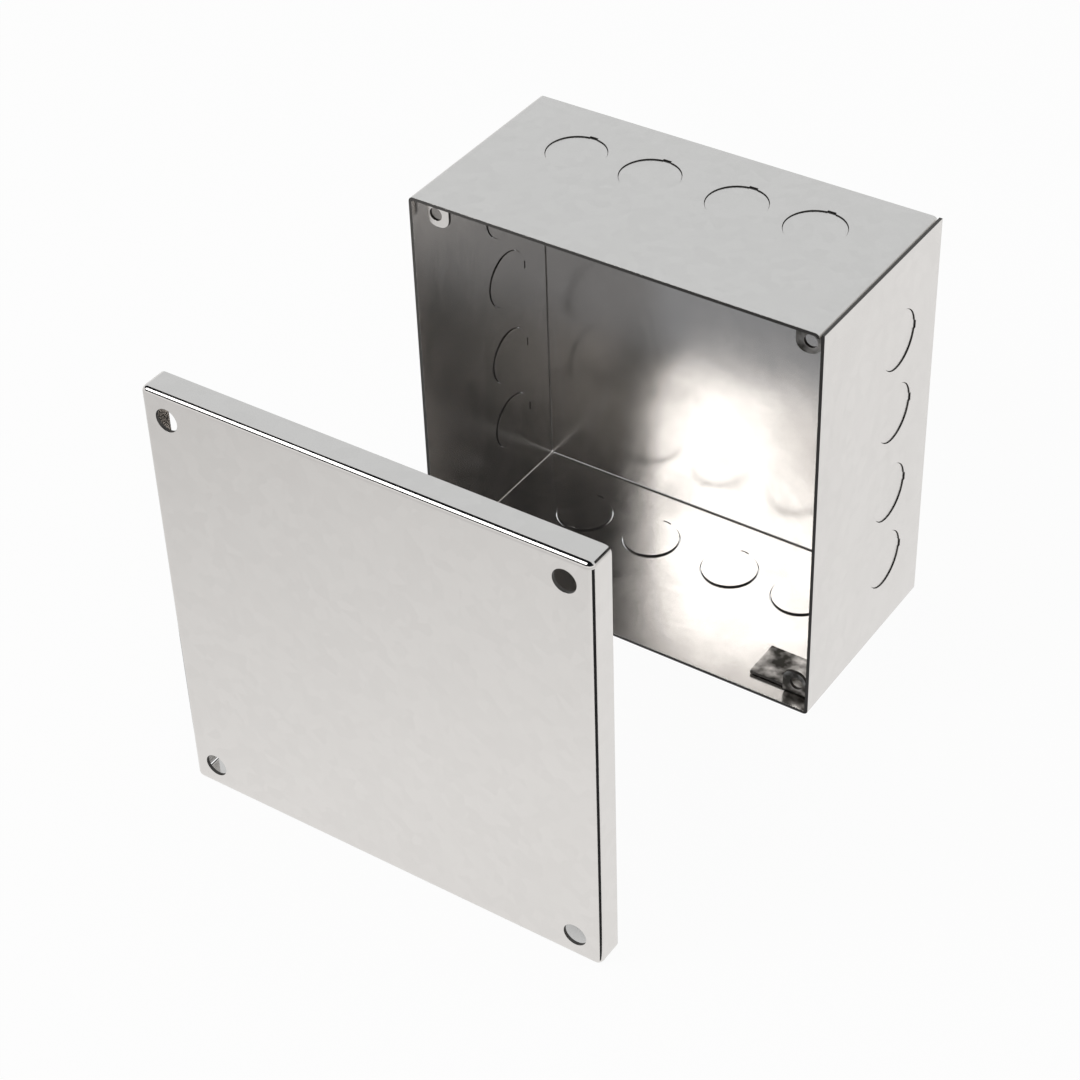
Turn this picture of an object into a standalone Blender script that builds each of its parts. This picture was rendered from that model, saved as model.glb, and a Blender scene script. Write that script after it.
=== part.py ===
"""Square steel junction box with knockouts and a separate flanged lid, standing in front of it.

Metres, +Z up. +X is right, +Y runs from the lid to the back of the box, and both pieces stand on z = 0.
The origin is under the middle of the whole object, lid and box together.
"""

import math

import bmesh
import bpy
from mathutils import Matrix, Vector

# Driving dimensions, in metres
BOX_SIDE = 0.150
BOX_DEPTH = 0.075
SHEET = 0.0012
FOLD_RADIUS = 0.0018
JOINT_GAP = 0.0003
SEAM_GAP = 0.0006

LID_CLEARANCE = 0.0008
LID_DEPTH = 0.0095
LID_RADIUS = 0.0022
LID_SLIT = 0.0005
LID_STANDOFF = 0.128
LID_HOLE_RADIUS = 0.0039

KNOCKOUT_RADIUS = 0.0100
KNOCKOUT_PITCH = (-0.044, -0.016, 0.016, 0.044)
KNOCKOUT_FROM_FRONT = 0.050
KNOCKOUT_SUNK = 0.0007
TANG_HALF_WIDTH = 0.0012
TANG_REACH = 0.0006

TAB_HEIGHT = 0.0090
TAB_SETBACK = 0.0090

SCREW_INSET = 0.0070
LUG_SETBACK = 0.0046
LUG_WIDTH = 0.0085
LUG_HEIGHT = 0.0100
LUG_CORNER = 0.0036
LUG_HOLE_RADIUS = 0.0023
FOOT_WIDTH = 0.0220
FOOT_LENGTH = 0.0150

FOLD_STEPS = 5
ROUND_STEPS = 48

# Sizes and places worked out from them
HALF = BOX_SIDE / 2
LID_OVERHANG = LID_CLEARANCE + SHEET
LID_SIDE = BOX_SIDE + 2 * LID_OVERHANG
LID_FRONT_Y = -(LID_STANDOFF + BOX_DEPTH) / 2
FRONT_Y = LID_FRONT_Y + LID_STANDOFF
BACK_Y = FRONT_Y + BOX_DEPTH
TAB_FACE = HALF - SHEET - JOINT_GAP
BOX_AXIS = Vector((0.0, 0.0, HALF))
WALL_TURNS = {"top": 0, "right": 90, "bottom": 180, "left": 270}
CORNERS = (("left", -1), ("right", 1))
CUT_PAST = 0.002


def clear_scene():
    for item in list(bpy.data.objects):
        bpy.data.objects.remove(item, do_unlink=True)


def new_collection(name):
    group = bpy.data.collections.new(name)
    bpy.context.scene.collection.children.link(group)
    return group


def make_material(name, colour, roughness, metallic):
    material = bpy.data.materials.new(name)
    material.use_nodes = True
    shader = material.node_tree.nodes["Principled BSDF"]
    shader.inputs["Base Color"].default_value = (*colour, 1.0)
    shader.inputs["Roughness"].default_value = roughness
    shader.inputs["Metallic"].default_value = metallic
    return material


clear_scene()
PARTS = new_collection("junction_box")
CUTTERS = new_collection("cutters")
GALVANISED = make_material("galvanised_sheet", (0.60, 0.60, 0.59), 0.30, 1.0)


def arc(centre, radius, start, end, steps):
    """Points round a centre, from one angle to another in degrees, both ends included."""
    turns = [math.radians(start + (end - start) * i / steps) for i in range(steps + 1)]
    return [(centre[0] + radius * math.cos(a), centre[1] + radius * math.sin(a)) for a in turns]


def wrapper_outline():
    """Section of a strip folded into a square tube about the origin.

    It runs from the top of the right wall round to a tab that laps inside that wall.
    """
    inner = FOLD_RADIUS - SHEET
    middle = HALF - FOLD_RADIUS
    tab_middle = TAB_FACE - FOLD_RADIUS
    folds = (((middle, -middle), 0), ((-middle, -middle), -90), ((-middle, middle), -180))
    folds += (((tab_middle, middle), -270),)
    outline = [(HALF, HALF)]
    for centre, start in folds:
        outline += arc(centre, FOLD_RADIUS, start, start - 90, FOLD_STEPS)
    outline += [(TAB_FACE, HALF - TAB_HEIGHT), (TAB_FACE - SHEET, HALF - TAB_HEIGHT)]
    for centre, start in reversed(folds):
        outline += arc(centre, inner, start - 90, start, FOLD_STEPS)
    return outline + [(HALF - SHEET, HALF)]


def angle_outline(foot, upright):
    """Section of a sheet folded to an L, its corner at the origin, foot along +X and upright along +Y."""
    centre = (FOLD_RADIUS, FOLD_RADIUS)
    outline = [(foot, 0.0), (foot, SHEET)]
    outline += arc(centre, FOLD_RADIUS - SHEET, 270, 180, FOLD_STEPS)
    outline += [(SHEET, upright), (0.0, upright)]
    outline += arc(centre, FOLD_RADIUS, 180, 270, FOLD_STEPS)
    return outline


def knockout_outline(gap):
    """Disc with a short tang on its +Y side, grown all round by a gap."""
    radius = KNOCKOUT_RADIUS + gap
    half = TANG_HALF_WIDTH + gap
    reach = KNOCKOUT_RADIUS + TANG_REACH + gap
    side = math.degrees(math.asin(half / radius))
    outline = arc((0.0, 0.0), radius, 90 + side, 450 - side, ROUND_STEPS)
    return outline + [(half, reach), (-half, reach)]


def extrude_outline(outline, low, high):
    """Closed mesh of a flat outline in the XY plane, from z = low to z = high."""
    curve = bpy.data.curves.new("outline", "CURVE")
    curve.dimensions = "2D"
    curve.fill_mode = "BOTH"
    curve.extrude = (high - low) / 2
    spline = curve.splines.new("POLY")
    spline.points.add(len(outline) - 1)
    for point, (x, y) in zip(spline.points, outline):
        point.co = (x, y, 0.0, 1.0)
    spline.use_cyclic_u = True
    drawn = bpy.data.objects.new("outline", curve)
    bpy.context.scene.collection.objects.link(drawn)
    graph = bpy.context.evaluated_depsgraph_get()
    mesh = bpy.data.meshes.new_from_object(drawn.evaluated_get(graph))
    bpy.data.objects.remove(drawn, do_unlink=True)
    bpy.data.curves.remove(curve)
    shape = bmesh.new()
    shape.from_mesh(mesh)
    bmesh.ops.remove_doubles(shape, verts=shape.verts, dist=1e-7)
    bmesh.ops.translate(shape, verts=shape.verts, vec=(0.0, 0.0, (low + high) / 2))
    bmesh.ops.recalc_face_normals(shape, faces=shape.faces)
    shape.to_mesh(mesh)
    shape.free()
    return mesh


def add_piece(name, mesh, material):
    mesh.materials.clear()
    mesh.materials.append(material)
    mesh.shade_smooth()
    mesh.set_sharp_from_angle(angle=math.radians(35))
    piece = bpy.data.objects.new(name, mesh)
    PARTS.objects.link(piece)
    return piece


def add_cutter(name, mesh):
    cutter = bpy.data.objects.new(name, mesh)
    cutter.hide_render = True
    cutter.display_type = "WIRE"
    CUTTERS.objects.link(cutter)
    return cutter


def combine(piece, other, operation):
    change = piece.modifiers.new(f"{operation.lower()}_{other.name}", "BOOLEAN")
    change.operation = operation
    change.solver = "EXACT"
    change.object = other


def block_mesh(name, low, high):
    """Box between two corners."""
    low, high = Vector(low), Vector(high)
    shape = bmesh.new()
    place = Matrix.Translation((low + high) / 2) @ Matrix.Diagonal((*(high - low), 1.0))
    bmesh.ops.create_cube(shape, size=1.0, matrix=place)
    mesh = bpy.data.meshes.new(name)
    shape.to_mesh(mesh)
    shape.free()
    return mesh


def rod_mesh(name, radius, start, end):
    """Round bar along Y between two points, as a cutter."""
    start, end = Vector(start), Vector(end)
    shape = bmesh.new()
    place = Matrix.Translation((start + end) / 2) @ Matrix.Rotation(math.pi / 2, 4, "X")
    bmesh.ops.create_cone(
        shape, cap_ends=True, segments=ROUND_STEPS, radius1=radius, radius2=radius,
        depth=(end - start).length, matrix=place,
    )
    mesh = bpy.data.meshes.new(name)
    shape.to_mesh(mesh)
    shape.free()
    return mesh


# Section in XY stood on its edge, so that it lies in XZ and runs along Y
STAND_UP = Matrix.Rotation(math.pi / 2, 4, "X")
# Section in XY turned so that it lies in YZ and runs along X
FACE_SIDE = Matrix.Rotation(math.pi / 2, 4, "Z") @ STAND_UP


def wall_frame(wall):
    """Box axis at the knockout row, turned so that +Z points out of the named wall and +X runs along it."""
    row = Vector((0.0, FRONT_Y + KNOCKOUT_FROM_FRONT, 0.0))
    turn = Matrix.Rotation(math.radians(WALL_TURNS[wall]), 4, "Y")
    return Matrix.Translation(BOX_AXIS + row) @ turn


def cut_knockout_holes(piece, wall):
    for number, along in enumerate(KNOCKOUT_PITCH, start=1):
        mesh = extrude_outline(knockout_outline(JOINT_GAP), HALF - SHEET - CUT_PAST, HALF + CUT_PAST)
        cutter = add_cutter(f"cut_knockout_{wall}_{number}", mesh)
        cutter.matrix_world = wall_frame(wall) @ Matrix.Translation((along, 0.0, 0.0))
        combine(piece, cutter, "DIFFERENCE")


def make_wrapper():
    """Four walls folded from one strip, with a welded lap at the top right edge and knockout holes."""
    mesh = extrude_outline(wrapper_outline(), -BACK_Y, -FRONT_Y)
    mesh.transform(Matrix.Translation(BOX_AXIS) @ STAND_UP)
    wrapper = add_piece("wrapper", mesh, GALVANISED)

    # Tab cut back at both ends, clear of the front edge and of the back plate
    ends = {
        "front": (FRONT_Y - CUT_PAST, FRONT_Y + TAB_SETBACK),
        "back": (BACK_Y - SHEET - JOINT_GAP, BACK_Y + CUT_PAST),
    }
    for end, (start, stop) in ends.items():
        notch = block_mesh(
            f"notch_{end}",
            (TAB_FACE - FOLD_RADIUS, start, BOX_SIDE - TAB_HEIGHT - CUT_PAST),
            (TAB_FACE + JOINT_GAP / 2, stop, BOX_SIDE - FOLD_RADIUS),
        )
        combine(wrapper, add_cutter(f"cut_notch_{end}", notch), "DIFFERENCE")
    for wall in WALL_TURNS:
        cut_knockout_holes(wrapper, wall)


def make_back_plate():
    """Flat back, set inside the wrapper, with its top right corner cut off clear of the lap's fold."""
    side = HALF - SHEET - JOINT_GAP
    low = HALF - SHEET - SEAM_GAP
    relief = FOLD_RADIUS + JOINT_GAP
    outline = [(-side, -low), (side, -low), (side, side - relief), (side - relief, side), (-side, side)]
    mesh = extrude_outline(outline, -BACK_Y, SHEET - BACK_Y)
    mesh.transform(Matrix.Translation(BOX_AXIS) @ STAND_UP)
    add_piece("back_plate", mesh, GALVANISED)


def make_knockouts(wall):
    """Discs half sheared out of a wall, each hinged on the tang that still holds it at the back."""
    inner_face = HALF - SHEET - KNOCKOUT_SUNK
    for number, along in enumerate(KNOCKOUT_PITCH, start=1):
        mesh = extrude_outline(knockout_outline(0.0), 0.0, SHEET)
        mesh.transform(Matrix.Translation((0.0, -KNOCKOUT_RADIUS, 0.0)))
        disc = add_piece(f"knockout_{wall}_{number}", mesh, GALVANISED)
        hinge = Matrix.Translation((along, KNOCKOUT_RADIUS, inner_face))
        disc.matrix_world = wall_frame(wall) @ hinge


def make_lug(wall, side, sign):
    """Bracket welded to the top or bottom wall, whose round-ended upright takes a lid screw."""
    outer_face = TAB_FACE - FOLD_RADIUS - JOINT_GAP
    foot_face = SHEET + JOINT_GAP
    front = FRONT_Y + LUG_SETBACK
    rear = FOLD_RADIUS + FOOT_LENGTH
    across = sorted((sign * outer_face, sign * (outer_face - FOOT_WIDTH)))
    mesh = extrude_outline(angle_outline(rear, LUG_HEIGHT), *across)
    mesh.transform(Matrix.Translation((0.0, front, foot_face)) @ FACE_SIDE)
    lug = add_piece(f"corner_lug_{wall}_{side}", mesh, GALVANISED)

    # Upright narrower than the foot, with both corners rounded
    edge = outer_face - LUG_WIDTH
    top = foot_face + LUG_HEIGHT
    level = top - LUG_CORNER
    past = outer_face - FOOT_WIDTH - CUT_PAST
    beyond = outer_face + CUT_PAST
    beside = [(past, foot_face - CUT_PAST), (edge, foot_face - CUT_PAST)]
    beside += arc((edge + LUG_CORNER, level), LUG_CORNER, 180, 90, FOLD_STEPS)
    beside += arc((outer_face + JOINT_GAP / 3 - LUG_CORNER, level), LUG_CORNER, 90, 0, FOLD_STEPS)
    beside += [(beyond, level), (beyond, top + CUT_PAST), (past, top + CUT_PAST)]
    beside = [(sign * x, z) for x, z in beside]
    side_mesh = extrude_outline(beside, -front - FOLD_RADIUS - JOINT_GAP, CUT_PAST - front)
    side_mesh.transform(STAND_UP)

    centre = Vector((sign * (HALF - SCREW_INSET), front, SCREW_INSET))
    reach = Vector((0.0, CUT_PAST, 0.0))
    hole = rod_mesh("hole", LUG_HOLE_RADIUS, centre - reach, centre + 2 * reach)
    turn = Matrix.Identity(4)
    if wall == "top":
        half_turn = Matrix.Rotation(math.pi, 4, "Y")
        turn = Matrix.Translation(BOX_AXIS) @ half_turn @ Matrix.Translation(-BOX_AXIS)
    lug.matrix_world = turn
    for label, cut_mesh in (("beside", side_mesh), ("screw", hole)):
        cutter = add_cutter(f"cut_{label}_{wall}_{side}", cut_mesh)
        cutter.matrix_world = turn
        combine(lug, cutter, "DIFFERENCE")


def make_lid():
    """Flat face with a flange folded back on all four sides, slit at the corners, with four screw holes."""
    low = Vector((-LID_SIDE / 2, LID_FRONT_Y, 0.0))
    high = Vector((LID_SIDE / 2, LID_FRONT_Y + LID_DEPTH, LID_SIDE))
    shape = bmesh.new()
    place = Matrix.Translation((low + high) / 2) @ Matrix.Diagonal((*(high - low), 1.0))
    bmesh.ops.create_cube(shape, size=1.0, matrix=place)
    back = [face for face in shape.faces if face.normal.y > 0.5]
    bmesh.ops.delete(shape, geom=back, context="FACES_ONLY")
    folds = [edge for edge in shape.edges if len(edge.link_faces) == 2]
    bmesh.ops.bevel(
        shape, geom=folds, offset=LID_RADIUS, offset_type="OFFSET", segments=FOLD_STEPS,
        profile=0.5, affect="EDGES",
    )
    mesh = bpy.data.meshes.new("lid")
    shape.to_mesh(mesh)
    shape.free()
    lid = add_piece("lid", mesh, GALVANISED)
    wall = lid.modifiers.new("sheet", "SOLIDIFY")
    wall.thickness = SHEET
    wall.offset = -1.0
    wall.use_even_offset = True

    inset = SCREW_INSET + LID_OVERHANG
    middle = Vector((0.0, LID_FRONT_Y, LID_SIDE / 2))
    for level, up in (("bottom", -1), ("top", 1)):
        for side, sign in CORNERS:
            centre = middle + Vector((sign * (LID_SIDE / 2 - inset), 0.0, up * (LID_SIDE / 2 - inset)))
            reach = Vector((0.0, SHEET + CUT_PAST, 0.0))
            hole = rod_mesh(f"lid_hole_{level}_{side}", LID_HOLE_RADIUS, centre - reach, centre + reach)
            combine(lid, add_cutter(f"cut_lid_hole_{level}_{side}", hole), "DIFFERENCE")
            slit = block_mesh(
                f"lid_slit_{level}_{side}",
                (-LID_SLIT / 2, LID_RADIUS, -2 * LID_RADIUS),
                (LID_SLIT / 2, LID_DEPTH + CUT_PAST, 2 * LID_RADIUS),
            )
            cutter = add_cutter(f"cut_lid_slit_{level}_{side}", slit)
            corner = middle + Vector((sign * LID_SIDE / 2, 0.0, up * LID_SIDE / 2))
            lean = Matrix.Rotation(math.radians(45) * sign * up, 4, "Y")
            cutter.matrix_world = Matrix.Translation(corner) @ lean
            combine(lid, cutter, "DIFFERENCE")


make_wrapper()
make_back_plate()
for lug_wall in ("top", "bottom"):
    for lug_side, lug_sign in CORNERS:
        # A top lug is a bottom lug turned half round, which swaps its sides
        make_lug(lug_wall, lug_side, lug_sign if lug_wall == "bottom" else -lug_sign)
for knockout_wall in WALL_TURNS:
    make_knockouts(knockout_wall)
make_lid()
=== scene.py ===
"""Looks for a galvanised steel junction box and its lid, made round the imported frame.

Metres, +Z up. The box opens towards -Y, and the lid stands in front of it. Sheet pieces are finer copies of
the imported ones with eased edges. Knockouts come from Geometry Nodes.
"""

import math

import bmesh
import bpy
from mathutils import Matrix, Vector


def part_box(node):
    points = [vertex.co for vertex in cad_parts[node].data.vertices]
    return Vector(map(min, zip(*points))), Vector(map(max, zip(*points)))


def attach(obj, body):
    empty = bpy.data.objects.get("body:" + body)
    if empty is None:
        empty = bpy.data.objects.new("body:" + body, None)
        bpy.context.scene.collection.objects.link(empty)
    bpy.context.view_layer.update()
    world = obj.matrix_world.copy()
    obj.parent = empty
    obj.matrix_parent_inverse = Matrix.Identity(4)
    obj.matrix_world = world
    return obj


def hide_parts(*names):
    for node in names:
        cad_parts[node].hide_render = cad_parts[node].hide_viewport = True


bl_info = {
    "name": "Junction box looks",
    "version": (1, 0, 0),
    "blender": (4, 5, 0),
    "location": "View3D > Sidebar > Junction box",
    "description": "Finished pieces, zinc finishes and a studio for a galvanised junction box",
    "category": "Object",
}

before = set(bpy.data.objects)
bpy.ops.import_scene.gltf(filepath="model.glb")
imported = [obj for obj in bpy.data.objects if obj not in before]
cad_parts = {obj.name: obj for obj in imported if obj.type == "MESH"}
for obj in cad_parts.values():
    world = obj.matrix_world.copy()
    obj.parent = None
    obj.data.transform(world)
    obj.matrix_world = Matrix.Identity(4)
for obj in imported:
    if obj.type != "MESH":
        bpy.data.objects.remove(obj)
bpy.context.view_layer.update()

MM = 0.001
IMAGE_SENSOR = 36.0
WHITE = (1.0, 1.0, 1.0, 1.0)

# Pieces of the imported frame, by how they are made
SHELL_NODES = ("wrapper", "back_plate")
LUG_NODES = tuple(sorted(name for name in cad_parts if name.startswith("corner_lug_")))
KNOCKOUT_NODES = tuple(sorted(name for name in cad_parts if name.startswith("knockout_")))

# Turn of each wall about the box's axis, in degrees from the top one
WALL_TURNS = {"top": 0, "right": 90, "bottom": 180, "left": 270}

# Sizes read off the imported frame
BOX_LOW, BOX_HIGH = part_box("wrapper")
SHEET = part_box("knockout_top_1")[1].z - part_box("knockout_top_1")[0].z

# What counts as one flat face, a sharp edge, the same point and a cut edge of the sheet
FLAT_JOIN = math.radians(0.5)
SHARP_FOLD = math.radians(55)
MERGE_WITHIN = 0.002 * MM
CUT_EDGE_WIDTH = 1.3 * SHEET


def linear(hex_colour):
    """Linear red, green and blue of an sRGB hex colour."""
    channels = [int(hex_colour[i:i + 2], 16) / 255 for i in (1, 3, 5)]
    return tuple(c / 12.92 if c <= 0.04045 else ((c + 0.055) / 1.055) ** 2.4 for c in channels)


class SheetLooks(bpy.types.PropertyGroup):
    """Sizes and colours of the galvanised sheet."""

    zinc_light: bpy.props.FloatVectorProperty(
        name="Light zinc", description="Bright crystals of the zinc skin",
        default=linear("#DCD9D6"), subtype="COLOR", min=0.0, max=1.0,
    )
    zinc_dark: bpy.props.FloatVectorProperty(
        name="Dark zinc", description="Duller crystals of the zinc skin",
        default=linear("#D9D6D3"), subtype="COLOR", min=0.0, max=1.0,
    )
    bare_edge: bpy.props.FloatVectorProperty(
        name="Sheared edge", description="Bare steel where the sheet was cut",
        default=linear("#5C5A58"), subtype="COLOR", min=0.0, max=1.0,
    )
    # Painted dark reflection: darker, rougher mottled patches for the right-hand lugs, standing in for the
    # dark surroundings that they mirror
    dark_reflection: bpy.props.FloatVectorProperty(
        name="Dark reflection zinc", description="Zinc burnt by the heat of a weld",
        default=linear("#55534F"), subtype="COLOR", min=0.0, max=1.0,
    )
    dark_reflection_patch: bpy.props.FloatProperty(
        name="Dark reflection patch", description="Width of one burnt patch",
        default=6.0 * MM, min=0.5 * MM, unit="LENGTH",
    )
    dark_reflection_gloss: bpy.props.FloatProperty(
        name="Dark reflection roughness", description="Roughness of the burnt patches",
        default=0.5, min=0.0, max=1.0,
    )
    spangle: bpy.props.FloatProperty(
        name="Spangle", description="Width of one zinc crystal",
        default=4.0 * MM, min=0.5 * MM, unit="LENGTH",
    )
    smear: bpy.props.FloatProperty(
        name="Smear", description="Width of the dull marks left by rolling oil and handling",
        default=24.0 * MM, min=1.0 * MM, unit="LENGTH",
    )
    smear_squeeze: bpy.props.FloatVectorProperty(
        name="Smear squeeze", description="Scale of those marks each way, less where they are longer",
        default=(1.0, 1.0, 0.45), subtype="XYZ", min=0.01,
    )
    ripple: bpy.props.FloatProperty(
        name="Ripple", description="Width of the slight waves that folding leaves in a flat wall",
        default=35.0 * MM, min=5.0 * MM, unit="LENGTH",
    )
    ripple_height: bpy.props.FloatProperty(
        name="Ripple height", description="Height of those waves",
        default=0.25 * MM, min=0.0, unit="LENGTH",
    )
    gloss: bpy.props.FloatVectorProperty(
        name="Roughness range", description="Roughness of the brightest and the dullest zinc of the box",
        default=(0.18, 0.26), size=2, min=0.0, max=1.0,
    )
    lid_gloss: bpy.props.FloatVectorProperty(
        name="Lid roughness range", description="The same for the lid's zinc, which is rolled smooth",
        default=(0.08, 0.12), size=2, min=0.0, max=1.0,
    )
    edge_ease: bpy.props.FloatProperty(
        name="Edge ease", description="Rounding along the cut edges",
        default=0.12 * MM, min=0.01 * MM, unit="LENGTH",
    )
    edge_grain: bpy.props.FloatProperty(
        name="Edge grain", description="Width of one mark that the shear leaves",
        default=0.6 * MM, min=0.05 * MM, unit="LENGTH",
    )
    edge_gloss: bpy.props.FloatVectorProperty(
        name="Edge roughness range", description="Roughness of the brightest and the dullest cut edge",
        default=(0.38, 0.62), size=2, min=0.0, max=1.0,
    )


class KnockoutLooks(bpy.types.PropertyGroup):
    """Sizes of the round knockouts."""

    tie_half_width: bpy.props.FloatProperty(
        name="Tie half width", description="Half the width of the tang that still holds the disc",
        default=1.2 * MM, min=0.2 * MM, unit="LENGTH",
    )
    tie_reach: bpy.props.FloatProperty(
        name="Tie reach", description="How far the tang stands out from the disc",
        default=0.6 * MM, min=0.1 * MM, unit="LENGTH",
    )
    fill: bpy.props.FloatProperty(
        name="Fill", description="How far the disc fills the packed gap, down to a thin sheared line",
        default=0.18 * MM, min=0.0, max=0.25 * MM, unit="LENGTH",
    )
    lift: bpy.props.FloatProperty(
        name="Lift", description="How far the disc stands out from its packed place in the wall",
        default=0.3 * MM, min=0.0, max=0.7 * MM, unit="LENGTH",
    )
    sides: bpy.props.IntProperty(
        name="Sides", description="Flats round the disc", default=96, min=12,
    )


class StageLooks(bpy.types.PropertyGroup):
    """Camera, lamp, floor, background and the pieces of the studio that only mirrors see, with painted
    shade and painted shadow on the floor among them.
    """

    azimuth: bpy.props.FloatProperty(
        name="Azimuth", description="Camera's turn round the object, from the front towards the right",
        default=math.radians(35.04), subtype="ANGLE",
    )
    elevation: bpy.props.FloatProperty(
        name="Elevation", description="Camera's height above the horizon",
        default=math.radians(38.94), subtype="ANGLE",
    )
    roll: bpy.props.FloatProperty(
        name="Roll", description="Camera's turn about its own axis",
        default=math.radians(2.13), subtype="ANGLE",
    )
    distance: bpy.props.FloatProperty(
        name="Distance", description="From the camera to the point it looks at",
        default=901.8 * MM, unit="LENGTH",
    )
    aim: bpy.props.FloatVectorProperty(
        name="Aim", description="Point that the camera looks at",
        default=(-31.5 * MM, 30.1 * MM, 26.0 * MM), subtype="XYZ", unit="LENGTH",
    )
    lens: bpy.props.FloatProperty(
        name="Lens", description="Focal length in millimetres, on a square 36 mm picture",
        default=88.6, min=1.0,
    )
    paper: bpy.props.FloatVectorProperty(
        name="Paper", description="Colour of the paper floor",
        default=linear("#F4F4F3"), subtype="COLOR", min=0.0, max=1.0,
    )
    paper_reach: bpy.props.FloatProperty(
        name="Paper reach", description="Half the side of the paper floor",
        default=6.0, min=0.5, unit="LENGTH",
    )
    glow: bpy.props.FloatProperty(
        name="Paper glow", description="Share of white that the floor shows without any lamp",
        default=0.95, min=0.0, max=1.0,
    )
    # Painted shade on the paper that mirrors see: darker farther from one point on the floor
    fade: bpy.props.FloatProperty(
        name="Paper fade", description="Share of its white that far paper shows in a mirror",
        default=0.78, min=0.0, max=1.0,
    )
    fade_from: bpy.props.FloatVectorProperty(
        name="Fade from", description="Point on the floor from which the paper fades",
        default=(0.2, 0.15, 0.0), subtype="XYZ", unit="LENGTH",
    )
    fade_reach: bpy.props.FloatVectorProperty(
        name="Fade reach", description="Distances at which the fade begins and ends",
        default=(0.36, 0.58), size=2, min=0.0, unit="LENGTH",
    )
    ambient: bpy.props.FloatProperty(
        name="Ambient", description="Strength of the even light from all round",
        default=0.55, min=0.0,
    )
    key_power: bpy.props.FloatProperty(
        name="Key power", description="Power of the softbox in watts",
        default=3.2, min=0.0,
    )
    key_size: bpy.props.FloatProperty(
        name="Key size", description="Side of the square softbox",
        default=0.5, min=0.05, unit="LENGTH",
    )
    key_distance: bpy.props.FloatProperty(
        name="Key distance", description="From the softbox to the middle of the box",
        default=1.3, min=0.1, unit="LENGTH",
    )
    key_towards: bpy.props.FloatVectorProperty(
        name="Key direction", description="From the middle of the box to the softbox",
        default=(-0.450, -0.615, 0.645), subtype="XYZ",
    )
    curtain: bpy.props.FloatVectorProperty(
        name="Curtain", description="Colour of the unlit front of the studio",
        default=linear("#4A5158"), subtype="COLOR", min=0.0, max=1.0,
    )
    curtain_radius: bpy.props.FloatProperty(
        name="Curtain radius", description="From the object to the unlit front of the studio",
        default=2.4, min=0.5, unit="LENGTH",
    )
    curtain_back: bpy.props.FloatProperty(
        name="Curtain back", description="How far behind the object's middle the unlit part ends",
        default=0.35, unit="LENGTH",
    )
    curtain_low: bpy.props.FloatProperty(
        name="Curtain low", description="Height of the unlit part's lower edge",
        default=0.8, min=0.0, unit="LENGTH",
    )
    curtain_skirt: bpy.props.FloatProperty(
        name="Curtain skirt", description="Height of that edge at the front left, under the softbox",
        default=0.35, min=0.0, unit="LENGTH",
    )
    skirt_from: bpy.props.FloatVectorProperty(
        name="Skirt from", description="Shares of the radius, to the left and the front, where it begins",
        default=(0.2, 0.5), size=2, min=0.0, max=1.0,
    )
    # Painted shadow on the floor, seen only in mirrors: a grey glowing sheet standing in for the lid's
    # shadow between lid and box
    cloth: bpy.props.FloatVectorProperty(
        name="Cloth", description="Colour that the grey cloth between lid and box shows",
        default=linear("#989A9D"), subtype="COLOR", min=0.0, max=1.0,
    )
    # Painted shade on the floor, seen only in mirrors: a dark glowing wedge that puts a dark reflected line
    # along the lid's right fold
    dark_shade: bpy.props.FloatVectorProperty(
        name="Dark shade", description="Colour that the dark cloth to the right of the lid shows",
        default=linear("#2C2D2E"), subtype="COLOR", min=0.0, max=1.0,
    )
    shade_reach: bpy.props.FloatProperty(
        name="Cloth reach", description="How far the grey cloth goes out to the left of the box",
        default=0.07, min=0.0, unit="LENGTH",
    )
    shade_lift: bpy.props.FloatProperty(
        name="Cloth lift", description="Height of both shades above the paper",
        default=0.3 * MM, min=0.0, unit="LENGTH",
    )
    dark_shade_reach: bpy.props.FloatProperty(
        name="Dark shade reach", description="Length of the dark wedge from the lid's right corner",
        default=0.26, min=0.0, unit="LENGTH",
    )
    dark_shade_turns: bpy.props.FloatVectorProperty(
        name="Dark shade turns", description="Directions of its two sides, from front to right",
        default=(math.radians(56), math.radians(104)), size=2, unit="ROTATION",
    )
    ceiling: bpy.props.FloatVectorProperty(
        name="Ceiling", description="Colour that the back of the ceiling shows",
        default=linear("#E6E9EB"), subtype="COLOR", min=0.0, max=1.0,
    )
    ceiling_height: bpy.props.FloatProperty(
        name="Ceiling height", description="From the floor to the ceiling",
        default=2.0, min=0.5, unit="LENGTH",
    )
    ceiling_reach: bpy.props.FloatProperty(
        name="Ceiling reach", description="From the object's middle to the ceiling's sides and back",
        default=7.2, min=0.5, unit="LENGTH",
    )


class JunctionBoxLooks(bpy.types.PropertyGroup):
    """All sizes and colours, by group."""

    sheet: bpy.props.PointerProperty(type=SheetLooks)
    knockout: bpy.props.PointerProperty(type=KnockoutLooks)
    stage: bpy.props.PointerProperty(type=StageLooks)


def add_node(tree, kind, settings=None, values=None, links=None):
    """Adds a node, sets its own settings and its sockets' values, and links its inputs."""
    made = tree.nodes.new(kind)
    for name, value in (settings or {}).items():
        setattr(made, name, value)
    for socket, value in (values or {}).items():
        made.inputs[socket].default_value = value
    for socket, source in (links or {}).items():
        for output in source if isinstance(source, list) else [source]:
            tree.links.new(output, made.inputs[socket])
    return made


def new_finish(name):
    """An empty material, with its tree and its Principled shader."""
    finish = bpy.data.materials.new(name)
    finish.use_nodes = True
    return finish, finish.node_tree, finish.node_tree.nodes["Principled BSDF"]


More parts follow.
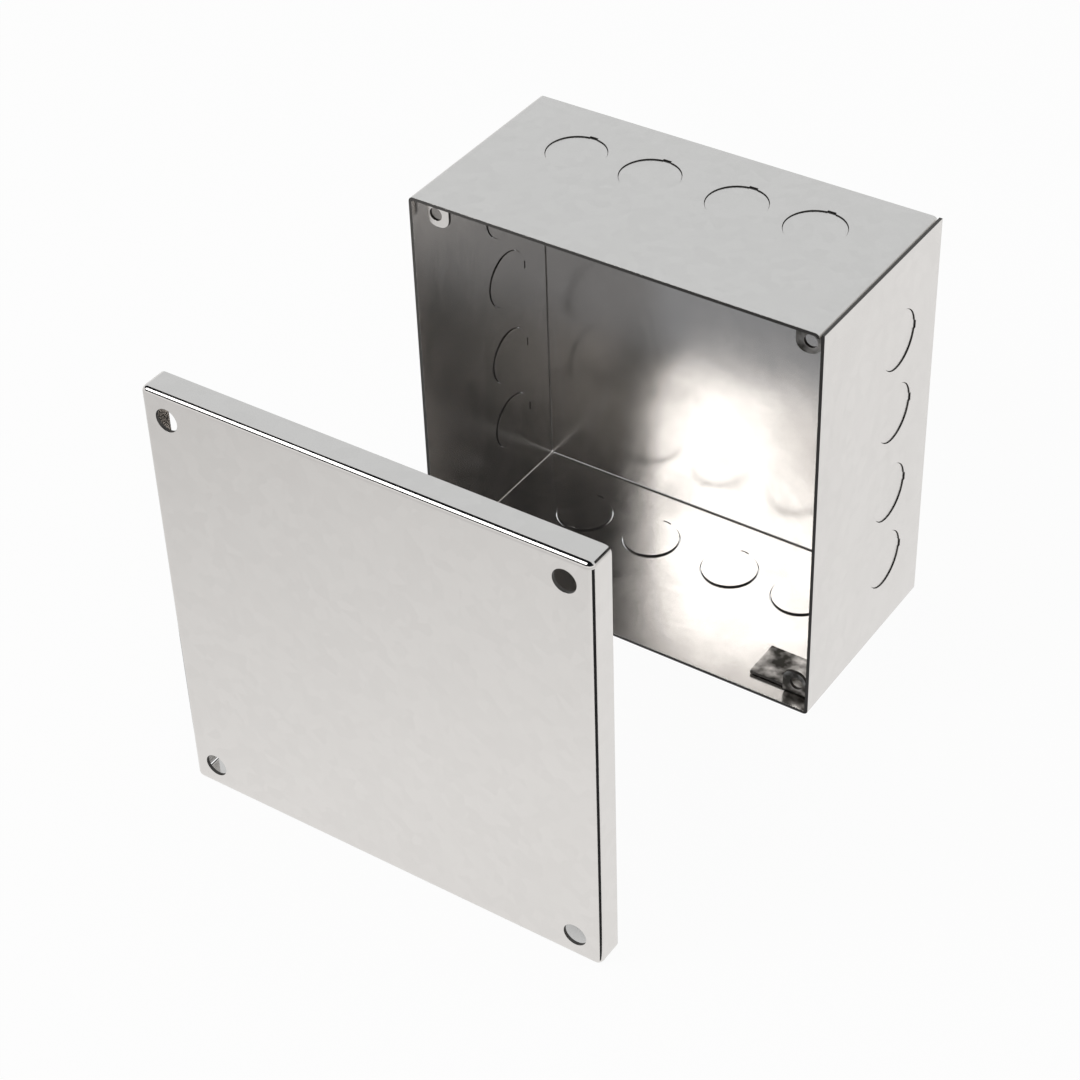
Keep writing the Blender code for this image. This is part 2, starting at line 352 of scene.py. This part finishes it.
def galvanised_sheet(name, looks, gloss):
    """Cold-rolled steel dipped in zinc, with the roughness of its brightest and dullest parts.

    The eye sees a soft mirror: fine pale crystals, dull smears from rolling oil and slightly wavy walls.
    """
    known = bpy.data.materials.get(name)
    if known:
        return known
    finish, tree, shader = new_finish(name)
    place = add_node(tree, "ShaderNodeTexCoord").outputs["Object"]

    # Crystals of zinc, each a little lighter or darker than the next
    crystals = add_node(
        tree, "ShaderNodeTexVoronoi", values={"Scale": 1 / looks.spangle}, links={"Vector": place}
    )
    crystal_tone = add_node(tree, "ShaderNodeSeparateColor", links={"Color": crystals.outputs["Color"]})
    zinc = add_node(
        tree, "ShaderNodeMix", {"data_type": "RGBA"},
        {6: (*looks.zinc_dark, 1.0), 7: (*looks.zinc_light, 1.0)},
        {0: crystal_tone.outputs["Red"]},
    )
    tree.links.new(zinc.outputs[2], shader.inputs["Base Color"])

    # Dull smears, longer upwards than across
    run = add_node(
        tree, "ShaderNodeMapping", values={"Scale": looks.smear_squeeze}, links={"Vector": place}
    )
    smears = add_node(
        tree, "ShaderNodeTexNoise",
        values={"Scale": 1 / looks.smear, "Detail": 6.0, "Roughness": 0.62, "Distortion": 0.9},
        links={"Vector": run.outputs["Vector"]},
    )
    dullness = add_node(
        tree, "ShaderNodeMapRange",
        values={"From Min": 0.35, "From Max": 0.70, "To Min": gloss[0], "To Max": gloss[1]},
        links={"Value": smears.outputs["Fac"]},
    )
    tree.links.new(dullness.outputs["Result"], shader.inputs["Roughness"])

    # Slow waves of a thin wall between its folds
    waves = add_node(
        tree, "ShaderNodeTexNoise",
        values={"Scale": 1 / looks.ripple, "Detail": 3.0, "Roughness": 0.4}, links={"Vector": place},
    )
    bent = add_node(
        tree, "ShaderNodeBump", values={"Strength": 1.0, "Distance": looks.ripple_height},
        links={"Height": waves.outputs["Fac"]},
    )
    tree.links.new(bent.outputs["Normal"], shader.inputs["Normal"])
    shader.inputs["Metallic"].default_value = 1.0
    return finish


def box_zinc(looks):
    """Sheet left as it was dipped. The eye sees a cloudy glow in place of a clear reflection."""
    return galvanised_sheet("galvanised_sheet_hot_dipped", looks, looks.gloss)


def lid_zinc(looks):
    """Sheet rolled smooth after dipping. The eye sees crisp light and dark lines along its folds."""
    return galvanised_sheet("galvanised_sheet_skin_passed", looks, looks.lid_gloss)


def painted_reflection_zinc(looks):
    """Painted dark reflection for the right-hand lugs. The eye sees soft dark mottled patches on grey,
    darker and rougher than the rest, standing in for the dark surroundings that they mirror.
    """
    known = bpy.data.materials.get("galvanised_sheet_dark_reflection")
    if known:
        return known
    finish, tree, shader = new_finish("galvanised_sheet_dark_reflection")
    place = add_node(tree, "ShaderNodeTexCoord").outputs["Object"]
    patches = add_node(
        tree, "ShaderNodeTexNoise",
        values={"Scale": 1 / looks.dark_reflection_patch, "Detail": 3.0, "Roughness": 0.5}, links={"Vector": place},
    )
    darkened = add_node(
        tree, "ShaderNodeMapRange", values={"From Min": 0.30, "From Max": 0.60},
        links={"Value": patches.outputs["Fac"]},
    )
    colour = add_node(
        tree, "ShaderNodeMix", {"data_type": "RGBA"},
        {6: (*looks.zinc_dark, 1.0), 7: (*looks.dark_reflection, 1.0)}, {0: darkened.outputs["Result"]},
    )
    rough = add_node(
        tree, "ShaderNodeMapRange", values={"To Min": looks.gloss[1], "To Max": looks.dark_reflection_gloss},
        links={"Value": darkened.outputs["Result"]},
    )
    tree.links.new(colour.outputs[2], shader.inputs["Base Color"])
    tree.links.new(rough.outputs["Result"], shader.inputs["Roughness"])
    shader.inputs["Metallic"].default_value = 1.0
    return finish


def sheared_edge(looks):
    """Steel cut by a shear, after galvanising. The eye sees a thin dark line with a little grain."""
    known = bpy.data.materials.get("steel_edge_sheared")
    if known:
        return known
    finish, tree, shader = new_finish("steel_edge_sheared")
    place = add_node(tree, "ShaderNodeTexCoord").outputs["Object"]
    grain = add_node(
        tree, "ShaderNodeTexNoise",
        values={"Scale": 1 / looks.edge_grain, "Detail": 3.0}, links={"Vector": place},
    )
    rough = add_node(
        tree, "ShaderNodeMapRange",
        values={"To Min": looks.edge_gloss[0], "To Max": looks.edge_gloss[1]},
        links={"Value": grain.outputs["Fac"]},
    )
    tree.links.new(rough.outputs["Result"], shader.inputs["Roughness"])
    shader.inputs["Base Color"].default_value = (*looks.bare_edge, 1.0)
    shader.inputs["Metallic"].default_value = 1.0
    return finish


def show(name, mesh):
    """An object for a mesh, at the origin."""
    piece = bpy.data.objects.new(name, mesh)
    bpy.context.scene.collection.objects.link(piece)
    return piece


def bake(piece):
    """Turns a piece's modifiers into a plain mesh."""
    graph = bpy.context.evaluated_depsgraph_get()
    mesh = bpy.data.meshes.new_from_object(
        piece.evaluated_get(graph), preserve_all_data_layers=True, depsgraph=graph
    )
    piece.modifiers.clear()
    piece.data = mesh
    return piece


def wall_of(node):
    """Name of the wall that a knockout belongs to."""
    return node.split("_")[1]


def knockout_disc(node):
    """Middle and radius of a packed knockout's disc, without the tang at its back."""
    low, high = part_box(node)
    radius = max(high.x - low.x, high.z - low.z) / 2
    middle = (low + high) / 2
    middle.y = low.y + radius
    return middle, radius


def knockout_planes():
    """Planes through the middles of the knockouts, each a point and a normal."""
    planes = set()
    for node in KNOCKOUT_NODES:
        middle = knockout_disc(node)[0]
        along = 2 if wall_of(node) in {"left", "right"} else 0
        planes.update((axis, round(middle[axis] / MM, 3)) for axis in (along, 1))
    for axis, place in sorted(planes):
        normal = Vector((0.0, 0.0, 0.0))
        normal[axis] = 1.0
        yield normal * place * MM, normal


def cut_through_knockouts(shape):
    """Cuts the walls through the middles of their round holes, so that no face goes round a hole."""
    for point, normal in knockout_planes():
        everything = shape.verts[:] + shape.edges[:] + shape.faces[:]
        cut = bmesh.ops.bisect_plane(
            shape, geom=everything, dist=MERGE_WITHIN, plane_co=point, plane_no=normal
        )
        for item in cut["geom_cut"]:
            if isinstance(item, bmesh.types.BMEdge):
                item.seam = True


def clean_copy(node):
    """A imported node's mesh with its loose triangles merged and its flat faces joined."""
    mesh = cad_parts[node].data.copy()
    mesh.name = f"{node}_finished"
    mesh.materials.clear()
    shape = bmesh.new()
    shape.from_mesh(mesh)
    bmesh.ops.remove_doubles(shape, verts=shape.verts, dist=MERGE_WITHIN)
    if node == "wrapper":
        cut_through_knockouts(shape)
    bmesh.ops.dissolve_limit(
        shape, angle_limit=FLAT_JOIN, verts=shape.verts, edges=shape.edges, delimit={"SEAM"}
    )
    shape.to_mesh(mesh)
    shape.free()
    packed_normals = mesh.attributes.get("custom_normal")
    if packed_normals:
        mesh.attributes.remove(packed_normals)
    return mesh


def mark_sheared(mesh):
    """Gives the second material to faces about as narrow as the sheet between sharp edges."""
    shape = bmesh.new()
    shape.from_mesh(mesh)
    for face in shape.faces:
        sharp = [edge for edge in face.edges if edge.is_manifold and edge.calc_face_angle() > SHARP_FOLD]
        run = sum(edge.calc_length() for edge in sharp)
        face.material_index = int(run > 0 and 2 * face.calc_area() / run < CUT_EDGE_WIDTH)
    shape.to_mesh(mesh)
    shape.free()


def ease_edges(piece, width):
    """Rounds the cut edges and keeps the flat faces flat."""
    ease = piece.modifiers.new("eased_edges", "BEVEL")
    ease.width = width
    ease.segments = 2
    ease.limit_method = "ANGLE"
    ease.angle_limit = SHARP_FOLD
    ease.use_clamp_overlap = False
    piece.data.shade_smooth()
    piece.data.set_sharp_from_angle(angle=math.pi)
    flat = piece.modifiers.new("flat_faces", "WEIGHTED_NORMAL")
    flat.weight = 100
    return bake(piece)


def finish_sheet_piece(node, body, looks, zinc):
    """Replaces a packed sheet piece with its finished copy, in the given zinc."""
    mesh = clean_copy(node)
    mesh.materials.append(zinc)
    mesh.materials.append(sheared_edge(looks))
    mark_sheared(mesh)
    piece = ease_edges(show(f"{node}_finished", mesh), looks.edge_ease)
    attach(piece, body)
    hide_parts(node)


def new_tree(name, inputs):
    """A Geometry Nodes tree with named inputs, its group input node and its output node."""
    tree = bpy.data.node_groups.new(name, "GeometryNodeTree")
    for label, kind in inputs:
        tree.interface.new_socket(label, in_out="INPUT", socket_type=f"NodeSocket{kind}")
    tree.interface.new_socket("Geometry", in_out="OUTPUT", socket_type="NodeSocketGeometry")
    return tree, tree.nodes.new("NodeGroupInput").outputs, tree.nodes.new("NodeGroupOutput")


def end_tree(tree, group_output, geometry, sizes):
    """Places the shape, makes it real and gives it its material."""
    placed = add_node(
        tree, "GeometryNodeTransform",
        links={"Geometry": geometry, "Translation": sizes["Place"], "Rotation": sizes["Turn"]},
    )
    real = add_node(tree, "GeometryNodeRealizeInstances", links={"Geometry": placed.outputs["Geometry"]})
    painted = add_node(
        tree, "GeometryNodeSetMaterial",
        links={"Geometry": real.outputs["Geometry"], "Material": sizes["Material"]},
    )
    tree.links.new(painted.outputs["Geometry"], group_output.inputs["Geometry"])
    return tree


def grow(name, tree, values):
    """A piece made by a tree, with its inputs set by name, turned into a plain mesh."""
    piece = show(name, bpy.data.meshes.new(name))
    maker = piece.modifiers.new(tree.name, "NODES")
    maker.node_group = tree
    for item in tree.interface.items_tree:
        if item.in_out == "INPUT":
            maker[item.identifier] = values[item.name]
    return bake(piece)


def knockout_tree():
    """Disc of the sheet's thickness, joined to the short tang that still holds it."""
    tree, sizes, output = new_tree("knockout_disc", (
        ("Radius", "Float"), ("Thickness", "Float"), ("Tie Half Width", "Float"), ("Tie Reach", "Float"),
        ("Sides", "Int"), ("Place", "Vector"), ("Turn", "Rotation"), ("Material", "Material"),
    ))
    disc = add_node(
        tree, "GeometryNodeMeshCylinder", {"fill_type": "NGON"},
        links={"Vertices": sizes["Sides"], "Radius": sizes["Radius"], "Depth": sizes["Thickness"]},
    )
    tie_width = add_node(
        tree, "ShaderNodeMath", {"operation": "MULTIPLY"}, {1: 2.0}, {0: sizes["Tie Half Width"]}
    )
    tie_length = add_node(
        tree, "ShaderNodeMath", {"operation": "MULTIPLY"}, {1: 2.0}, {0: sizes["Tie Reach"]}
    )
    tie_size = add_node(
        tree, "ShaderNodeCombineXYZ",
        links={"X": tie_width.outputs[0], "Y": tie_length.outputs[0], "Z": sizes["Thickness"]},
    )
    tie = add_node(tree, "GeometryNodeMeshCube", links={"Size": tie_size.outputs["Vector"]})
    rim = add_node(tree, "ShaderNodeCombineXYZ", links={"Y": sizes["Radius"]})
    tie_at_rim = add_node(
        tree, "GeometryNodeTransform",
        links={"Geometry": tie.outputs["Mesh"], "Translation": rim.outputs["Vector"]},
    )
    whole = add_node(
        tree, "GeometryNodeMeshBoolean", {"operation": "UNION", "solver": "EXACT"},
        links={"Mesh 2": [disc.outputs["Mesh"], tie_at_rim.outputs["Geometry"]]},
    )
    return end_tree(tree, output, whole.outputs["Mesh"], sizes)


class JUNCTIONBOX_OT_shell(bpy.types.Operator):
    """Finish the folded wrapper and the back plate that closes it"""

    bl_idname = "junction_box.shell"
    bl_label = "Box shell"

    def execute(self, context):
        looks = context.scene.junction_box.sheet
        for node in SHELL_NODES:
            finish_sheet_piece(node, "box", looks, box_zinc(looks))
        return {"FINISHED"}


class JUNCTIONBOX_OT_lugs(bpy.types.Operator):
    """Finish the four corner lugs that take the lid screws"""

    bl_idname = "junction_box.lugs"
    bl_label = "Corner lugs"

    def execute(self, context):
        looks = context.scene.junction_box.sheet
        for node in LUG_NODES:
            # Painted dark reflection on the right-hand lugs, plain zinc on the left-hand ones
            zinc = painted_reflection_zinc(looks) if node.endswith("right") else box_zinc(looks)
            finish_sheet_piece(node, "box", looks, zinc)
        return {"FINISHED"}


class JUNCTIONBOX_OT_lid(bpy.types.Operator):
    """Finish the flanged lid"""

    bl_idname = "junction_box.lid"
    bl_label = "Lid"

    def execute(self, context):
        looks = context.scene.junction_box.sheet
        finish_sheet_piece("lid", "lid", looks, lid_zinc(looks))
        return {"FINISHED"}


class JUNCTIONBOX_OT_knockouts(bpy.types.Operator):
    """Make the sixteen half-sheared knockouts"""

    bl_idname = "junction_box.knockouts"
    bl_label = "Knockouts"

    def execute(self, context):
        looks = context.scene.junction_box
        sizes = looks.knockout
        tree = knockout_tree()
        zinc, cut = box_zinc(looks.sheet), sheared_edge(looks.sheet)
        for node in KNOCKOUT_NODES:
            wall = wall_of(node)
            turn = math.radians(WALL_TURNS[wall])
            outwards = Vector((math.sin(turn), 0.0, math.cos(turn)))
            # The bottom row is sheared deepest, with its whole gap open
            fill, lift = (0.0, 0.0) if wall == "bottom" else (sizes.fill, sizes.lift)
            middle, radius = knockout_disc(node)
            piece = grow(f"{node}_finished", tree, {
                "Radius": radius + fill, "Thickness": SHEET, "Sides": sizes.sides,
                "Tie Half Width": sizes.tie_half_width + fill, "Tie Reach": sizes.tie_reach,
                "Place": middle + lift * outwards, "Turn": (0.0, turn, 0.0), "Material": zinc,
            })
            piece.data.materials.append(cut)
            mark_sheared(piece.data)
            ease_edges(piece, looks.sheet.edge_ease)
            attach(piece, node)
            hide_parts(node)
        return {"FINISHED"}


def shows_background(tree, mirrored=None):
    """1 on rays that look at the background itself: from the camera, a mirror or glass.

    A mirror may be given a smaller share of it.
    """
    path = add_node(tree, "ShaderNodeLightPath").outputs
    glossy = path["Is Glossy Ray"]
    if mirrored:
        glossy = add_node(
            tree, "ShaderNodeMath", {"operation": "MULTIPLY"}, links={0: glossy, 1: mirrored}
        ).outputs[0]
    seen = add_node(
        tree, "ShaderNodeMath", {"operation": "MAXIMUM"}, links={0: path["Is Camera Ray"], 1: glossy}
    )
    return add_node(
        tree, "ShaderNodeMath", {"operation": "MAXIMUM"},
        links={0: seen.outputs[0], 1: path["Is Transmission Ray"]},
    ).outputs[0]


def white_surround(looks):
    """A world that is white to look at and gives an even light."""
    world = bpy.data.worlds.new("white_surround")
    world.use_nodes = True
    tree = world.node_tree
    light = tree.nodes["Background"]
    light.inputs["Color"].default_value = WHITE
    light.inputs["Strength"].default_value = looks.ambient
    white = add_node(tree, "ShaderNodeBackground", values={"Color": WHITE, "Strength": 1.0})
    either = add_node(
        tree, "ShaderNodeMixShader",
        links={0: shows_background(tree), 1: light.outputs[0], 2: white.outputs[0]},
    )
    tree.links.new(either.outputs[0], tree.nodes["World Output"].inputs["Surface"])
    bpy.context.scene.world = world


def paper_floor(looks):
    """A wide sheet of white paper that shows as white and still takes a faint shadow. In mirrors it shows
    painted shade, darker farther from one point.
    """
    shape = bmesh.new()
    bmesh.ops.create_grid(shape, x_segments=1, y_segments=1, size=looks.paper_reach)
    mesh = bpy.data.meshes.new("paper_floor")
    shape.to_mesh(mesh)
    shape.free()
    finish, tree, shader = new_finish("paper_white_matt")
    shader.inputs["Base Color"].default_value = (*(c * (1 - looks.glow) for c in looks.paper), 1.0)
    shader.inputs["Roughness"].default_value = 1.0
    shader.inputs["Specular IOR Level"].default_value = 0.0
    shader.inputs["Emission Color"].default_value = WHITE

    # Painted shade: in a mirror the paper grows darker farther from one point, towards the front left
    place = add_node(tree, "ShaderNodeTexCoord").outputs["Object"]
    away = add_node(
        tree, "ShaderNodeVectorMath", {"operation": "DISTANCE"}, {1: looks.fade_from}, {0: place}
    )
    begins, ends = looks.fade_reach
    fade = add_node(
        tree, "ShaderNodeMapRange",
        values={"From Min": begins, "From Max": ends, "To Min": 1.0, "To Max": looks.fade},
        links={"Value": away.outputs["Value"]},
    )
    glow = add_node(
        tree, "ShaderNodeMath", {"operation": "MULTIPLY"}, {1: looks.glow},
        {0: shows_background(tree, fade.outputs["Result"])},
    )
    tree.links.new(glow.outputs[0], shader.inputs["Emission Strength"])
    mesh.materials.append(finish)
    floor = show("paper_floor", mesh)


def softbox(looks):
    """A large square lamp in front, to the left and above."""
    lamp = bpy.data.lights.new("softbox", "AREA")
    lamp.shape = "SQUARE"
    lamp.size = looks.key_size
    lamp.energy = looks.key_power
    key = bpy.data.objects.new("softbox", lamp)
    bpy.context.scene.collection.objects.link(key)
    middle = (BOX_LOW + BOX_HIGH) / 2
    towards = Vector(looks.key_towards).normalized()
    key.location = middle + looks.key_distance * towards
    key.rotation_euler = towards.to_track_quat("Z", "Y").to_euler()
    key.visible_camera = False


def mirror_only(name, mesh, colour, shown=0.0):
    """Puts up a matt piece of the studio that only mirrors see, with a share of its colour shown unlit."""
    finish, _, shader = new_finish(f"{name}_matt")
    shader.inputs["Base Color"].default_value = (*(c * (1 - shown) for c in colour), 1.0)
    shader.inputs["Roughness"].default_value = 1.0
    shader.inputs["Specular IOR Level"].default_value = 0.0
    shader.inputs["Emission Color"].default_value = (*colour, 1.0)
    shader.inputs["Emission Strength"].default_value = shown
    mesh.materials.append(finish)
    card = show(name, mesh)
    card.visible_camera = False
    card.visible_diffuse = False
    card.visible_shadow = False
    return card


def flat_card(name, corners):
    """Mesh of one flat face between its corners."""
    mesh = bpy.data.meshes.new(name)
    mesh.from_pydata(corners, [], [list(range(len(corners)))])
    return mesh


def level_rectangle(left, front, right, back, height):
    """Corners of a rectangle at one height, seen from above."""
    return [(left, front, height), (right, front, height), (right, back, height), (left, back, height)]


def dark_curtain(looks):
    """The unlit upper front of the studio, which gives the bare zinc its dark side."""
    radius = looks.curtain_radius
    left, front = (-share * radius for share in looks.skirt_from)
    shape = bmesh.new()
    bmesh.ops.create_uvsphere(shape, u_segments=48, v_segments=24, radius=radius)
    outside = []
    for vert in shape.verts:
        under_lamp = vert.co.x < left and vert.co.y < front
        low = looks.curtain_skirt if under_lamp else looks.curtain_low
        if vert.co.z < low or vert.co.y > looks.curtain_back:
            outside.append(vert)
    bmesh.ops.delete(shape, geom=outside, context="VERTS")
    mesh = bpy.data.meshes.new("dark_curtain")
    shape.to_mesh(mesh)
    shape.free()
    mirror_only("dark_curtain", mesh, looks.curtain)


def pale_ceiling(looks):
    """The back of the ceiling, a little darker than the paper, which the top wall shows."""
    reach = looks.ceiling_reach
    corners = level_rectangle(-reach, looks.curtain_back, reach, reach, looks.ceiling_height)
    mirror_only("pale_ceiling", flat_card("pale_ceiling", corners), looks.ceiling, 1.0)


def painted_floor_shades(looks):
    """Painted shadow and painted shade on the floor, seen only in mirrors: a grey glowing sheet between lid
    and box stands in for the lid's shadow there and darkens the inside's reflections, and a dark glowing
    wedge beside the lid paints a dark reflected line along the lid's right fold.
    """
    lid_low, lid_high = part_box("lid")
    # Painted shadow: a grey glowing sheet where the lid's shadow falls between lid and box
    between = level_rectangle(
        BOX_LOW.x - looks.shade_reach, lid_high.y, BOX_HIGH.x, BOX_LOW.y, looks.shade_lift
    )
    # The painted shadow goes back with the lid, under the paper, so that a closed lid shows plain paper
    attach(mirror_only("painted_shadow_between", flat_card("painted_shadow_between", between), looks.cloth, 1.0), "lid")
    # Painted shade: a dark glowing wedge on the floor right of the lid, which the lid's right fold reflects
    # as a dark line
    corner = Vector((lid_high.x, lid_low.y, looks.shade_lift))
    far_ends = [
        corner + looks.dark_shade_reach * Vector((math.sin(turn), -math.cos(turn), 0.0))
        for turn in looks.dark_shade_turns
    ]
    mirror_only("painted_shade_beside", flat_card("painted_shade_beside", [corner, *far_ends]), looks.dark_shade, 1.0)


def camera(looks):
    """The photograph's point of view, on a square picture."""
    lens = bpy.data.cameras.new("camera")
    lens.sensor_fit = "HORIZONTAL"
    lens.sensor_width = IMAGE_SENSOR
    lens.lens = looks.lens
    eye = bpy.data.objects.new("camera", lens)
    bpy.context.scene.collection.objects.link(eye)
    back = Vector((
        math.cos(looks.elevation) * math.sin(looks.azimuth),
        -math.cos(looks.elevation) * math.cos(looks.azimuth),
        math.sin(looks.elevation),
    ))
    right = Vector((0.0, 0.0, 1.0)).cross(back).normalized()
    up = back.cross(right)
    turn = Matrix((right, up, back)).transposed().to_4x4() @ Matrix.Rotation(-looks.roll, 4, "Z")
    eye.matrix_world = Matrix.Translation(Vector(looks.aim) + looks.distance * back) @ turn
    bpy.context.scene.camera = eye


class JUNCTIONBOX_OT_stage(bpy.types.Operator):
    """Set the floor, the light, the background and the camera"""

    bl_idname = "junction_box.stage"
    bl_label = "Stage"

    def execute(self, context):
        looks = context.scene.junction_box.stage
        white_surround(looks)
        paper_floor(looks)
        softbox(looks)
        dark_curtain(looks)
        pale_ceiling(looks)
        painted_floor_shades(looks)
        camera(looks)
        context.scene.view_settings.view_transform = "Standard"
        return {"FINISHED"}


STEPS = (
    JUNCTIONBOX_OT_shell, JUNCTIONBOX_OT_lugs, JUNCTIONBOX_OT_lid,
    JUNCTIONBOX_OT_knockouts, JUNCTIONBOX_OT_stage,
)


class JUNCTIONBOX_PT_looks(bpy.types.Panel):
    """Lists the steps and the sizes that they use"""

    bl_idname = "JUNCTIONBOX_PT_looks"
    bl_label = "Junction box"
    bl_space_type = "VIEW_3D"
    bl_region_type = "UI"
    bl_category = "Junction box"

    def draw(self, context):
        for step in STEPS:
            self.layout.operator(step.bl_idname)
        looks = context.scene.junction_box
        for group in (looks.sheet, looks.knockout, looks.stage):
            box = self.layout.box()
            for name in group.bl_rna.properties.keys():
                if name not in {"rna_type", "name"}:
                    box.prop(group, name)


CLASSES = (
    SheetLooks, KnockoutLooks, StageLooks, JunctionBoxLooks, *STEPS, JUNCTIONBOX_PT_looks,
)


def register():
    for item in CLASSES:
        bpy.utils.register_class(item)
    bpy.types.Scene.junction_box = bpy.props.PointerProperty(type=JunctionBoxLooks)


def unregister():
    del bpy.types.Scene.junction_box
    for item in reversed(CLASSES):
        bpy.utils.unregister_class(item)


def main():
    register()
    bpy.ops.junction_box.shell()
    bpy.ops.junction_box.lugs()
    bpy.ops.junction_box.lid()
    bpy.ops.junction_box.knockouts()
    bpy.ops.junction_box.stage()


if __name__ == "__main__":
    main()
